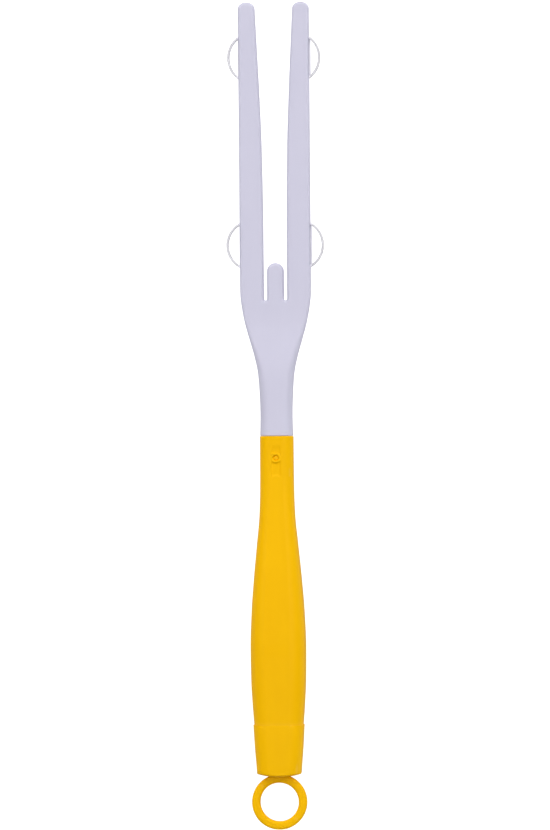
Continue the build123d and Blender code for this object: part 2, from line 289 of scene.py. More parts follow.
def rounded_rectangle(half_width, half_depth, radius, arc, long, short):
    """A closed outline in X and Y, anticlockwise from the middle of the front, as an array of points.
    arc, long and short are the steps on each corner and on each half of the long and the short sides."""
    flat_x, flat_y = half_width - radius, half_depth - radius
    t = np.linspace(0, 1, long + 1)[:-1]
    u = np.linspace(0, 1, short + 1)[:-1]
    a = np.linspace(0, math.pi / 2, arc + 1)[:-1]
    quarter = [(flat_x * k, -half_depth) for k in t]
    quarter += [(flat_x + radius * math.sin(k), -flat_y - radius * math.cos(k)) for k in a]
    quarter += [(half_width, -flat_y * (1 - k)) for k in u]
    quarter = np.array(quarter)
    back = np.column_stack([quarter[:, 0], -quarter[:, 1]])[::-1][:-1]
    right = np.vstack([quarter, [(half_width, 0.0)], back, [(0.0, half_depth)]])
    left = right[::-1][1:-1] * (-1, 1)
    return np.vstack([right, left])


def strip_faces(rows, columns, start=0):
    """Quads between rows of a grid whose columns close on themselves."""
    faces = []
    for r in range(rows - 1):
        for c in range(columns):
            n = (c + 1) % columns
            a = start + r * columns
            faces.append((a + c, a + n, a + columns + n, a + columns + c))
    return faces


# --- materials ------------------------------------------------------------------------------
HEAD_COLOUR = (0.579, 0.573, 0.690)
BOW_COLOUR = (0.610, 0.610, 0.635)
# the base strip's paler colour is painted light, making up for the shade on its side next to the tine
BASE_PAINTED_LIGHT_COLOUR = (0.765, 0.755, 0.850)
HANDLE_COLOUR = (0.875, 0.478, 0.001)

# texture scales, per metre
CLOUD_SCALE = 55.0
FLOW_SCALE = 260.0
FLOW_STRETCH = 0.12
# how much of the colour's variation follows the flow marks, the rest being clouds
FLOW_SHARE = 0.4
# the range of noise values that the colour and the roughness are spread over
NOISE_LOW = 0.3
NOISE_HIGH = 0.7
# pointiness at which an edge begins to look rubbed, and at which it is rubbed most
EDGE_BEGINS = 0.53
EDGE_FULL = 0.66
# a rubbed edge is this much closer to grey, and this much lighter
RUBBED_GREY = 0.12
RUBBED_LIGHTER = 0.03
PLASTIC_IOR = 1.5
# how far light spreads under a glowing surface, in metres
GLOW_REACH = 0.0012

# sockets of a Mix node, which has one set for numbers and one for colours
MIX_FACTOR = 0
MIX_NUMBER_A = 2
MIX_NUMBER_B = 3
MIX_COLOUR_A = 6
MIX_COLOUR_B = 7
MIX_NUMBER_OUT = 0
MIX_COLOUR_OUT = 2


def noise(nodes, links, vector, scale, detail):
    """A noise texture of the given scale over a vector output."""
    texture = nodes.new("ShaderNodeTexNoise")
    texture.inputs["Scale"].default_value = scale
    texture.inputs["Detail"].default_value = detail
    links.new(vector, texture.inputs["Vector"])
    return texture


def bump(nodes, links, height, distance):
    """A full-strength bump of the given depth in metres."""
    node = nodes.new("ShaderNodeBump")
    node.inputs["Strength"].default_value = 1.0
    node.inputs["Distance"].default_value = distance
    links.new(height, node.inputs["Height"])
    return node


def plastic(
    name, colour, tint, roughness, roughness_range, grain, grain_depth, wave_depth, wear, sheen, glow
):
    """Moulded plastic: clouded colour, faint flow marks, a fine skin and slightly paler rubbed edges."""
    material = bpy.data.materials.new(name)
    material.use_nodes = True
    nodes, links = material.node_tree.nodes, material.node_tree.links
    nodes.clear()
    out = nodes.new("ShaderNodeOutputMaterial")
    shader = nodes.new("ShaderNodeBsdfPrincipled")
    links.new(shader.outputs["BSDF"], out.inputs["Surface"])
    place = nodes.new("ShaderNodeTexCoord").outputs["Object"]

    cloud = noise(nodes, links, place, CLOUD_SCALE, detail=4.0)
    cloud.inputs["Roughness"].default_value = 0.55
    stretch = nodes.new("ShaderNodeMapping")
    stretch.inputs["Scale"].default_value = (1.0, FLOW_STRETCH, 1.0)
    links.new(place, stretch.inputs["Vector"])
    flow = noise(nodes, links, stretch.outputs["Vector"], FLOW_SCALE, detail=3.0)

    blend = nodes.new("ShaderNodeMix")
    blend.data_type = "FLOAT"
    blend.inputs[MIX_FACTOR].default_value = FLOW_SHARE
    links.new(cloud.outputs["Fac"], blend.inputs[MIX_NUMBER_A])
    links.new(flow.outputs["Fac"], blend.inputs[MIX_NUMBER_B])

    ramp = nodes.new("ShaderNodeValToRGB")
    dark, light = ramp.color_ramp.elements
    dark.position = NOISE_LOW
    dark.color = (*[c * (1 - t) for c, t in zip(colour, tint)], 1)
    light.position = NOISE_HIGH
    light.color = (*[min(1.0, c * (1 + t)) for c, t in zip(colour, tint)], 1)
    links.new(blend.outputs[MIX_NUMBER_OUT], ramp.inputs["Fac"])

    geometry = nodes.new("ShaderNodeNewGeometry")
    edge = nodes.new("ShaderNodeMapRange")
    edge.inputs["From Min"].default_value = EDGE_BEGINS
    edge.inputs["From Max"].default_value = EDGE_FULL
    edge.inputs["To Max"].default_value = wear
    links.new(geometry.outputs["Pointiness"], edge.inputs["Value"])
    rubbed = nodes.new("ShaderNodeMath")
    rubbed.operation = "MULTIPLY"
    links.new(edge.outputs["Result"], rubbed.inputs[0])
    links.new(cloud.outputs["Fac"], rubbed.inputs[1])
    rubbed_colour = [c + (max(colour) - c) * RUBBED_GREY + RUBBED_LIGHTER * c for c in colour]
    worn = nodes.new("ShaderNodeMix")
    worn.data_type = "RGBA"
    worn.inputs[MIX_COLOUR_B].default_value = (*rubbed_colour, 1)
    links.new(rubbed.outputs["Value"], worn.inputs[MIX_FACTOR])
    links.new(ramp.outputs["Color"], worn.inputs[MIX_COLOUR_A])
    links.new(worn.outputs[MIX_COLOUR_OUT], shader.inputs["Base Color"])

    rough = nodes.new("ShaderNodeMapRange")
    rough.inputs["From Min"].default_value = NOISE_LOW
    rough.inputs["From Max"].default_value = NOISE_HIGH
    rough.inputs["To Min"].default_value = roughness - roughness_range
    rough.inputs["To Max"].default_value = roughness + roughness_range
    links.new(flow.outputs["Fac"], rough.inputs["Value"])
    links.new(rough.outputs["Result"], shader.inputs["Roughness"])

    skin = noise(nodes, links, place, grain, detail=2.0)
    fine = bump(nodes, links, skin.outputs["Fac"], grain_depth)
    sink = bump(nodes, links, cloud.outputs["Fac"], wave_depth)
    links.new(sink.outputs["Normal"], fine.inputs["Normal"])
    links.new(fine.outputs["Normal"], shader.inputs["Normal"])

    shader.inputs["IOR"].default_value = PLASTIC_IOR
    shader.inputs["Specular IOR Level"].default_value = sheen
    shader.inputs["Subsurface Weight"].default_value = glow
    shader.inputs["Subsurface Radius"].default_value = (1.0, 1.0, 1.0)
    shader.inputs["Subsurface Scale"].default_value = GLOW_REACH
    return material


HEAD_FINISH = {
    "tint": (0.015, 0.015, 0.01),
    "roughness": 0.42,
    "roughness_range": 0.05,
    "grain": 2600.0,
    "grain_depth": 0.000010,
    "wave_depth": 0.00006,
    "wear": 0.35,
    "sheen": 0.2,
    "glow": 0.0,
}
BOW_FINISH = {
    "tint": (0.02, 0.02, 0.02),
    "roughness": 0.40,
    "roughness_range": 0.05,
    "grain": 2600.0,
    "grain_depth": 0.000008,
    "wave_depth": 0.00003,
    "wear": 0.3,
    "sheen": 0.2,
    "glow": 0.6,
}
HANDLE_FINISH = {
    "tint": (0.02, 0.035, 0.2),
    "roughness": 0.36,
    "roughness_range": 0.06,
    "grain": 2200.0,
    "grain_depth": 0.000012,
    "wave_depth": 0.00008,
    "wear": 0.3,
    "sheen": 0.05,
    "glow": 0.0,
}

head_plastic = plastic("head_plastic", HEAD_COLOUR, **HEAD_FINISH)
bow_plastic = plastic("bow_plastic", BOW_COLOUR, **BOW_FINISH)
# the base strip's material: the bow's finish in a paler colour, painted light on the strip's shaded side
base_painted_light_plastic = plastic("bow_base_painted_light_plastic", BASE_PAINTED_LIGHT_COLOUR, **BOW_FINISH)
handle_plastic = plastic("handle_plastic", HANDLE_COLOUR, **HANDLE_FINISH)


# --- fork head ------------------------------------------------------------------------------
# points on each arc of the outline, and millimetres between the points of its long edges
STUB_ARC_POINTS = 19
SLOT_ARC_POINTS = 13
TIP_ARC_POINTS = 29
SLOT_SIDE_STEP = 0.5
TINE_SIDE_STEP = 0.6
NECK_SIDE_STEP = 0.5
# a tip is an ellipse at 1.0, and blunter below
TIP_POWER = 0.95
# the steps of the rounding from the outline in to the flat, in degrees
ROUNDING_STEPS = [0, 8, 17, 27, 38, 50, 63, 76, 90]
NECK_END_STEPS = [30, 60, 90]
NECK_END_POINTS = 7
# the grid of points over the flat: millimetres apart, half its width, and clear of the rounding
GRID_STEP = 0.8
GRID_HALF_WIDTH = 12.8
GRID_MARGIN = 0.45
GRID_CHUNK = 2000
# delaunay_2d_cdt leaves out the triangles outside the given edges, and merges points this close
INSIDE_ONLY = 1
HEAD_MERGE = 1e-5
NECK_END_MERGE = 1e-7


def head_outline():
    """Right half of the head's outline, from the top of the stub round to the neck's end, as (x, z)."""
    points = []
    stub_side_z = STUB_TOP_Z - STUB_HALF_WIDTH
    for a in np.linspace(math.pi / 2, 0, STUB_ARC_POINTS):
        points.append((STUB_HALF_WIDTH * math.cos(a), stub_side_z + STUB_HALF_WIDTH * math.sin(a)))
    slot_radius = (TINE_ROOT_X - STUB_HALF_WIDTH) / 2
    slot_x = (TINE_ROOT_X + STUB_HALF_WIDTH) / 2
    slot_z = SLOT_BOTTOM_Z + slot_radius
    points += [(STUB_HALF_WIDTH, z) for z in evenly(stub_side_z, slot_z, SLOT_SIDE_STEP)[1:-1]]
    for a in np.linspace(math.pi, 2 * math.pi, SLOT_ARC_POINTS):
        points.append((slot_x + slot_radius * math.cos(a), slot_z + slot_radius * math.sin(a)))
    tip_side_z = TIP_Z - TIP_RISE
    climb = evenly(slot_z, tip_side_z, TINE_SIDE_STEP)[1:-1]
    inner = smooth_through(TINE_INNER, climb)[:, 0]
    points += list(zip(inner, climb))
    tip_inner = TINE_INNER[-1][1]
    tip_x = (tip_inner + TINE_OUTER_X) / 2
    tip_half = (TINE_OUTER_X - tip_inner) / 2
    for a in np.linspace(math.pi, 0, TIP_ARC_POINTS):
        across = math.copysign(abs(math.cos(a)) ** TIP_POWER, math.cos(a))
        points.append((tip_x + tip_half * across, tip_side_z + TIP_RISE * math.sin(a) ** TIP_POWER))
    points += [(TINE_OUTER_X, z) for z in evenly(tip_side_z, SHOULDER_TOP_Z, TINE_SIDE_STEP)[1:-1]]
    fall = evenly(SHOULDER_TOP_Z, NECK_END_Z + NECK_END_ROUND, NECK_SIDE_STEP)
    side = smooth_through(NECK, fall)[:, 0]
    points += list(zip(side, fall))
    return np.array(points, float)


def inward_normals(points):
    """Unit normals into the material of an outline that runs with the material on its right."""
    ahead = np.roll(points, -1, axis=0) - points
    behind = points - np.roll(points, 1, axis=0)
    ahead[-1], behind[0] = behind[-1], ahead[0]
    ahead /= np.linalg.norm(ahead, axis=1)[:, None]
    behind /= np.linalg.norm(behind, axis=1)[:, None]
    along = ahead + behind
    along /= np.linalg.norm(along, axis=1)[:, None]
    return np.column_stack([along[:, 1], -along[:, 0]])


def neck_sizes(heights):
    """Half width, half depth and rounding of the head at the given heights."""
    return smooth_through(NECK, np.clip(heights, NECK_END_Z, SHOULDER_TOP_Z))


def flat_grid(outline, bottom):
    """Points all over the inside of the outline that are clear of its rounding."""
    across = np.arange(-GRID_HALF_WIDTH, GRID_HALF_WIDTH + GRID_STEP / 2, GRID_STEP)
    gx, gz = np.meshgrid(across, np.arange(bottom + GRID_STEP, TIP_Z, GRID_STEP))
    grid = np.column_stack([gx.ravel(), gz.ravel()])
    nearest = []
    for start in range(0, len(grid), GRID_CHUNK):
        part = grid[start : start + GRID_CHUNK]
        nearest.append(np.sqrt(((part[:, None, :] - outline[None, :, :]) ** 2).sum(2)).min(1))
    reach = neck_sizes(grid[:, 1])[:, 2]
    return grid[np.concatenate(nearest) > reach + GRID_MARGIN]


def head_mesh():
    """The flat head with its rounded edges, and the loop of points round its open neck end."""
    right = head_outline()
    normals = inward_normals(right)
    normals[0] = (0.0, -1.0)
    normals[-1] = (-1.0, 0.0)
    radius = neck_sizes(right[:, 1])[:, 2]
    rings, fractions = [], []
    for a in np.radians(ROUNDING_STEPS):
        half = right + normals * (radius * (1 - math.cos(a)))[:, None]
        left = half[::-1][:-1] * (-1, 1)
        rings.append(np.vstack([left, half]))
        fractions.append(math.sin(a))
    count = len(rings[0])
    edges = [(k * count + i, k * count + i + 1) for k in range(len(rings)) for i in range(count - 1)]

    bottom = right[-1, 1]
    inner_half = rings[-1][-1, 0]
    middle_x = np.linspace(-inner_half, inner_half, NECK_END_POINTS)[1:-1]
    middle = np.column_stack([middle_x, np.full(len(middle_x), bottom)])
    middle_start = len(rings) * count
    row = [k * count for k in range(len(rings))]
    row += [middle_start + i for i in range(len(middle))]
    row += [k * count + count - 1 for k in reversed(range(len(rings)))]
    edges += list(zip(row[:-1], row[1:]))

    grid = flat_grid(rings[0], bottom)
    points = np.vstack([*rings, middle, grid])
    sines = np.concatenate([np.repeat(fractions, count), np.ones(len(middle) + len(grid))])
    made = delaunay_2d_cdt([Vector(p) for p in points], edges, [], INSIDE_ONLY, HEAD_MERGE)
    flat = np.array([tuple(v) for v in made[0]], float)
    triangles = [tuple(f) for f in made[2]]
    source = made[3]
    value = np.array([sines[s[0]] if s else 1.0 for s in source])
    size = neck_sizes(flat[:, 1])
    height = size[:, 1] - size[:, 2] + size[:, 2] * value

    total = len(flat)
    front = np.column_stack([flat[:, 0], -height, flat[:, 1]])
    back = np.column_stack([flat[:, 0], height, flat[:, 1]])
    verts = [tuple(v) for v in np.vstack([front, back])]
    faces = triangles + [tuple(total + i for i in reversed(t)) for t in triangles]
    index_of = {old: new for new, s in enumerate(source) for old in s}
    for i in range(count - 1):
        a, b = index_of[i], index_of[i + 1]
        faces.append((a, b, total + b, total + a))

    loop = [index_of[i] for i in row]
    loop += [total + i for i in reversed(loop)]
    return verts, faces, loop


def close_neck(verts, faces, loop):
    """Rounds the neck's end under, and carries it on down as the tang."""
    ring = np.array([verts[i] for i in loop])
    inward = -ring[:, :2] / np.linalg.norm(ring[:, :2], axis=1)[:, None]
    last = list(loop)
    for a in np.radians(NECK_END_STEPS):
        moved = ring.copy()
        moved[:, :2] += inward * NECK_END_ROUND * (1 - math.cos(a))
        moved[:, 2] -= NECK_END_ROUND * math.sin(a)
        new = list(range(len(verts), len(verts) + len(loop)))
        verts += [tuple(v) for v in moved]
        for i in range(len(loop)):
            n = (i + 1) % len(loop)
            faces.append((last[i], last[n], new[n], new[i]))
        last = new

    tang = rounded_rectangle(*TANG, arc=6, long=4, short=3)
    outer = [verts[i][:2] for i in last]
    flat = [Vector(p) for p in outer] + [Vector(p) for p in tang]
    n_out, n_in = len(outer), len(tang)
    rims = [(i, (i + 1) % n_out) for i in range(n_out)]
    rims += [(n_out + i, n_out + (i + 1) % n_in) for i in range(n_in)]
    made = delaunay_2d_cdt(flat, rims, [], INSIDE_ONLY, NECK_END_MERGE)
    tang_start = len(verts)
    verts += [(x, y, NECK_END_Z) for x, y in tang]
    names = last + list(range(tang_start, tang_start + n_in))
    for f in made[2]:
        face = tuple(names[made[3][i][0]] for i in f)
        # a face with every corner on the tang lies inside it
        if min(face) < tang_start:
            faces.append(face)
    rows = [tang_start]
    for z, shrink in ((TANG_END_Z + TANG_CHAMFER, 0.0), (TANG_END_Z, TANG_CHAMFER)):
        scale = np.array([(TANG[0] - shrink) / TANG[0], (TANG[1] - shrink) / TANG[1]])
        rows.append(len(verts))
        verts += [(x, y, z) for x, y in tang * scale]
    faces += strip_faces(len(rows), n_in, tang_start)
    faces.append(tuple(rows[-1] + i for i in range(n_in)))
    return verts, faces


head_verts, head_faces = close_neck(*head_mesh())
fork_head = new_piece("fork_head", head_verts, head_faces, head_plastic, sharp_deg=50)


# --- side bows ------------------------------------------------------------------------------
LEAF_EDGE = 0.2
LEAF_STATIONS = 49
# how far past its chord the leaf runs on into the strip
LEAF_ROOT = 0.35
STRIP_X = TINE_OUTER_X + STRIP_PROUD
# the strip's front edge is eased by EASE, and its side slopes out from there to these two depths
STRIP_EASE = 0.12
SLOPE_END_Y = 1.1
SLOPE_EASED_Y = 1.4
SLOPE_END_INSET = 0.03
# a rounded corner: where it starts, and how far in its middle point lies. The CAD has only a
# chamfer of 0.3 at the outer one.
HOOK_OUTER_ROUND = (0.45, 0.13)
HOOK_INNER_ROUND = (0.3, 0.09)
# the rounding of the strip's ends: distance from the end, distance in
STRIP_END_ROUND = [(0.0, 0.22), (0.07, 0.07), (0.22, 0.0)]
# only what stands clear of the tine is rounded
ROUND_FROM_X = TINE_OUTER_X - 0.3
ROUND_FROM_Y = HOOK_FRONT_Y + 0.1
# the tool that cuts the strip's seat reaches well out of the tine's side and back
SEAT_TOOL_X = 15.0
SEAT_TOOL_BACK_Y = 3.0
# how far past the strip's side the painted light of its paler colour reaches
PAINTED_LIGHT_MARGIN = 0.05


def strip_profile():
    """Section of the base strip, which wraps round behind the edge of its tine: points (x, y)."""
    outer, outer_middle = HOOK_OUTER_ROUND
    inner, inner_middle = HOOK_INNER_ROUND
    return [
        (SEAT_X, STRIP_FRONT_Y),
        (TINE_OUTER_X - STRIP_EASE, STRIP_FRONT_Y),
        (TINE_OUTER_X, STRIP_FRONT_Y + STRIP_EASE),
        (STRIP_X - SLOPE_END_INSET, SLOPE_END_Y),
        (STRIP_X, SLOPE_EASED_Y),
        (STRIP_X, HOOK_BACK_Y - outer),
        (STRIP_X - outer_middle, HOOK_BACK_Y - outer_middle),
        (STRIP_X - outer, HOOK_BACK_Y),
        (HOOK_INNER_X + inner, HOOK_BACK_Y),
        (HOOK_INNER_X + inner_middle, HOOK_BACK_Y - inner_middle),
        (HOOK_INNER_X, HOOK_BACK_Y - inner),
        (HOOK_INNER_X, HOOK_FRONT_Y),
        (SEAT_X, HOOK_FRONT_Y),
    ]


def bow_mesh(centre_z, half_chord, rise, side):
    """Leaf bent to an arc, with rounded edges, and the base strip that it springs from."""
    verts = []
    radius = (half_chord**2 + rise**2) / (2 * rise)
    centre_x = TINE_OUTER_X + rise - radius
    sweep = math.asin(half_chord / radius) + LEAF_ROOT / radius
    section = rounded_rectangle(LEAF_HALF, LEAF_DEPTH_HALF, LEAF_EDGE, arc=4, long=2, short=3)
    for a in np.linspace(-sweep, sweep, LEAF_STATIONS):
        for u, y in section:
            r = radius + u
            verts.append((centre_x + r * math.cos(a), y, centre_z + r * math.sin(a)))
    n = len(section)
    faces = strip_faces(LEAF_STATIONS, n)
    faces.append(tuple(range(n)))
    faces.append(tuple((LEAF_STATIONS - 1) * n + i for i in range(n)))

    profile = strip_profile()
    middle_x, middle_y = (SEAT_X + STRIP_X) / 2, (STRIP_FRONT_Y + HOOK_BACK_Y) / 2
    start = len(verts)
    rows = [(-half_chord + dz, inset) for dz, inset in STRIP_END_ROUND]
    rows += [(half_chord - dz, inset) for dz, inset in reversed(STRIP_END_ROUND)]
    for dz, inset in rows:
        for x, y in profile:
            outside = x > ROUND_FROM_X or y > ROUND_FROM_Y
            drawn_x = x - math.copysign(inset, x - middle_x) if outside else x
            drawn_y = y - inset if y > middle_y else y
            verts.append((drawn_x, drawn_y, centre_z + dz))
    m = len(profile)
    faces += strip_faces(len(rows), m, start)
    faces.append(tuple(start + i for i in range(m)))
    faces.append(tuple(start + (len(rows) - 1) * m + i for i in range(m)))
    return [(side * x, y, z) for x, y, z in verts], faces


def paint_light_on_base(bow):
    """Gives the base strip of a bow a paler colour: painted light, making up for the shade that the leaf and
    the tine cast on the strip's side.
    """
    bow.data.materials.append(base_painted_light_plastic)
    for face in bow.data.polygons:
        if abs(face.center.x) < (STRIP_X + PAINTED_LIGHT_MARGIN) * MM:
            face.material_index = 1


seat_tools = []
for level, bow_z, bow_half, bow_rise in BOWS:
    for side_name, side in (("right", 1), ("left", -1)):
        bow_verts, bow_faces = bow_mesh(bow_z, bow_half, bow_rise, side)
        node = f"side_bow_{level}_{side_name}"
        paint_light_on_base(new_piece(node, bow_verts, bow_faces, bow_plastic, sharp_deg=45))
        x0, x1 = sorted((side * (SEAT_X - SEAT_CLEARANCE), side * SEAT_TOOL_X))
        reach = bow_half + SEAT_CLEARANCE
        front = STRIP_FRONT_Y - SEAT_CLEARANCE
        seat_tools.append(tool_mesh(*block(x0, x1, front, SEAT_TOOL_BACK_Y, bow_z - reach, bow_z + reach)))
cut(fork_head, seat_tools)


# --- handle ---------------------------------------------------------------------------------
# a shallow flat in the collar's front, with softer edges than the CAD's, which is 0.35 deep
RECESS_HALF = 1.8
RECESS_DEPTH = 0.26
RECESS_TOP_Z = 128.9
RECESS_FADE = 2.2
ARCH_TOP_Z = 118.3
ARCH_RADIUS = 2.4
SIDE_RAMP = 0.6
ARCH_RAMP = 0.84
EYELET_RADIUS = 1.7
EYELET_RAMP = 0.4
EYELET_HOLE = 1.0
HOLE_DEPTH = 0.55
HOLE_RAMP = 0.2
HOLE_RAMP_START = 0.08
BEAD_HEIGHT = 0.12
BEAD_RADIUS = 1.45
BEAD_HALF_WIDTH = 0.42

# the outline is drawn in small steps over the first share of each quarter, where the recess lies
FINE_SHARE = 0.34
FINE_POINTS = 28
COARSE_POINTS = 27
# the handle's levels: from z, to z, millimetres apart
HANDLE_LEVELS = [
    (HANDLE_BOTTOM_Z, 112.0, 1.4),
    (112.0, 116.0, 0.5),
    (116.0, 130.0, 0.11),
    (130.0, COLLAR_TOP_Z - COLLAR_RIM, 0.4),
]
# the steps of a rim's rounding, in degrees
RIM_STEPS = [22, 45, 68, 90]
SOCKET_LIP = 0.6
CORE_LEVELS = [99.0, 94.0, 82.0, 72.0, 62.0, 44.0, GROOVE_TOP_Z]


def long_section(half_width, half_depth, radius, share):
    """Points of a rounded outline at shares of the way from the front's middle to the side's middle."""
    flat_x, flat_y = half_width - radius, half_depth - radius
    arc = radius * math.pi / 2
    s = share * (flat_x + arc + flat_y)
    a = np.clip((s - flat_x) / radius, 0, math.pi / 2)
    x = np.where(s < flat_x, s, flat_x + radius * np.sin(a))
    y = np.where(s < flat_x + arc, -flat_y - radius * np.cos(a), -flat_y + (s - flat_x - arc))
    return x, y


def loft_rows(levels, stations, front_depth=None):
    """Rows of points for a long moulding, one closed row a level. front_depth sinks its front."""
    near = np.linspace(0, FINE_SHARE, FINE_POINTS)
    far = np.linspace(FINE_SHARE, 1.0, COARSE_POINTS)[1:]
    shares = np.concatenate([near, far])
    rows = []
    for z, (w, d, r) in zip(levels, smooth_through(stations, levels)):
        x, y = long_section(w, d, r, shares)
        right = np.column_stack([np.concatenate([x, x[::-1][1:]]), np.concatenate([y, -y[::-1][1:]])])
        left = right[::-1][1:-1] * (-1, 1)
        ring = np.vstack([right, left])
        if front_depth is not None:
            ring[:, 1] += np.where(ring[:, 1] < 0, front_depth(ring[:, 0], z), 0.0)
        rows.append(np.column_stack([ring, np.full(len(ring), z)]))
    return rows


def straight_rows(levels, half_width, half_depth, radius):
    """Rows of points for a moulding with the same section all along."""
    return loft_rows(levels, [(0.0, half_width, half_depth, radius), (TIP_Z, half_width, half_depth, radius)])


def collar_sink(x, z):
    """How far the collar's front is sunk: a shallow flat that fades out above, ended by an arch below,
    round a raised eyelet with the pin's hole in it."""
    bottom_z = ARCH_TOP_Z - ARCH_RADIUS
    sides = np.maximum(np.abs(x) - RECESS_HALF, bottom_z - z)
    arch = np.hypot(x, z - bottom_z) - ARCH_RADIUS
    rho = np.hypot(x, z - PIN_Z)
    fade = smoothstep((RECESS_TOP_Z + RECESS_FADE / 2 - z) / RECESS_FADE)
    floor = smoothstep(-sides / SIDE_RAMP) * smoothstep(arch / ARCH_RAMP) * fade
    flat = RECESS_DEPTH * floor * smoothstep((rho - EYELET_RADIUS) / EYELET_RAMP)
    bead = BEAD_HEIGHT * np.clip(1 - ((rho - BEAD_RADIUS) / BEAD_HALF_WIDTH) ** 2, 0, 1)
    hole = HOLE_DEPTH * smoothstep((EYELET_HOLE + HOLE_RAMP_START - rho) / HOLE_RAMP)
    return np.maximum(flat, hole) - bead


def handle_mesh():
    """The handle from its bottom edge up the outside, over the collar's rim and down the inside."""
    spans = [evenly(*span) for span in HANDLE_LEVELS]
    levels = np.concatenate([spans[0], *[span[1:] for span in spans[1:]]])
    rows = loft_rows(levels, HANDLE, collar_sink)
    top = loft_rows([COLLAR_TOP_Z], HANDLE)[0]
    inward = -top[:, :2] / np.linalg.norm(top[:, :2], axis=1)[:, None]
    for a in np.radians(RIM_STEPS):
        ring = top.copy()
        ring[:, :2] += inward * COLLAR_RIM * (1 - math.cos(a))
        ring[:, 2] -= COLLAR_RIM * (1 - math.sin(a))
        rows.append(ring)
    rows += straight_rows([COLLAR_TOP_Z, COLLAR_TOP_Z - SOCKET_LIP, TANG_END_Z], *SOCKET)
    rows += loft_rows(CORE_LEVELS, CORE)
    rows += straight_rows([GROOVE_TOP_Z, GROOVE_BOTTOM_Z], *SNAP_GROOVE)
    rows += loft_rows([GROOVE_BOTTOM_Z, HANDLE_BOTTOM_Z], CORE)
    columns = len(rows[0])
    verts = [tuple(v) for ring in rows for v in ring]
    faces = strip_faces(len(rows), columns)
    last = (len(rows) - 1) * columns
    for c in range(columns):
        n = (c + 1) % columns
        faces.append((last + c, last + n, n, c))
    return verts, faces


handle_verts, handle_faces = handle_mesh()
new_piece("handle_shell", handle_verts, handle_faces, handle_plastic, sharp_deg=50)


# --- retaining pin --------------------------------------------------------------------------
# half of the turned pin's section, from its front end to its back end: radius, y.
# The shank's radius is 1.15 in the CAD.
PIN_PROFILE = [
    (0.0, -4.80),
    (0.30, -4.80),
    (0.50, -4.79),
    (0.62, -4.74),
    (0.76, -4.60),
    (0.90, -4.48),
    (1.12, -4.4),
    (1.12, -2.0),
    (1.12, 0.0),
    (1.12, 2.0),
    (1.12, 4.65),
    (1.04, 4.84),
    (0.88, 4.9),
    (0.55, 4.9),
    (0.42, 4.87),
    (0.30, 4.70),
    (0.0, 4.67),
]
PIN_STEPS = 32


def pin_mesh():
    """Turned pin with a domed front end, and a rounded back end with a dimple in it."""
    verts = []
    for r, y in PIN_PROFILE[1:-1]:
        for i in range(PIN_STEPS):
            a = 2 * math.pi * i / PIN_STEPS
            verts.append((r * math.cos(a), y, PIN_Z + r * math.sin(a)))
    rows = len(PIN_PROFILE) - 2
    faces = strip_faces(rows, PIN_STEPS)
    for first, (_, y) in ((0, PIN_PROFILE[0]), ((rows - 1) * PIN_STEPS, PIN_PROFILE[-1])):
        verts.append((0.0, y, PIN_Z))
        for i in range(PIN_STEPS):
            faces.append((first + i, first + (i + 1) % PIN_STEPS, len(verts) - 1))
    return verts, faces


pin_verts, pin_faces = pin_mesh()
new_piece("retaining_pin", pin_verts, pin_faces, handle_plastic, sharp_deg=50)


# --- end cap --------------------------------------------------------------------------------
# the section that the butt and the cap's sides are scaled from
CAP_BASE_Z = CAP_BOTTOM_Z + 1.2
CROWN_SHARES = [0.15, 0.3, 0.45, 0.6, 0.75, 0.9, 1.0]
# the steps of the rounding from the crown to the side, in degrees
BUTT_STEPS = [20, 40, 60, 80]
CAP_SIDE_LEVELS = 17
PLUG_TOP_EASE = 0.3
CAVITY_FLOOR_EASE = 0.6
# outside of the plug: z, how much it is wider than PLUG
PLUG_LEVELS = [
    (CAP_TOP_Z, 0.0),
    (SNAP_BEAD_Z - SNAP_BEAD_RAMP, 0.0),
    (SNAP_BEAD_Z, SNAP_BEAD_HEIGHT),
    (SNAP_BEAD_Z + SNAP_BEAD_RAMP, 0.0),
    (PLUG_TOP_Z - PLUG_TOP_EASE, 0.0),
    (PLUG_TOP_Z, -PLUG_TOP_EASE),
]
# inside of the plug, down to the cap's floor: z, wall
CAVITY_LEVELS = [
    (PLUG_TOP_Z, PLUG_WALL),
    (CAP_FLOOR_TOP_Z + CAVITY_FLOOR_EASE, PLUG_WALL),
    (CAP_FLOOR_TOP_Z, PLUG_WALL + CAVITY_FLOOR_EASE),
]
CAVITY_LEAST_RADIUS = 0.8
# the slot for the ring's stem is cut from below the butt up into the cavity
STEM_SLOT_BOTTOM_Z = 5.0
STEM_SLOT_TOP_Z = 14.0
DISC_STEPS = 96


def scaled_in(ring, amount):
    """A ring drawn in evenly from its own sides."""
    half = np.abs(ring[:, :2]).max(0)
    return ring[:, :2] * (half - amount) / half


def crown_z(ring):
    """Height of the butt's shallow dome over the points of a ring."""
    reach = np.hypot(ring[:, 0], ring[:, 1])
    return CAP_BOTTOM_Z + CAP_CROWN_RADIUS - np.sqrt(CAP_CROWN_RADIUS**2 - reach**2)


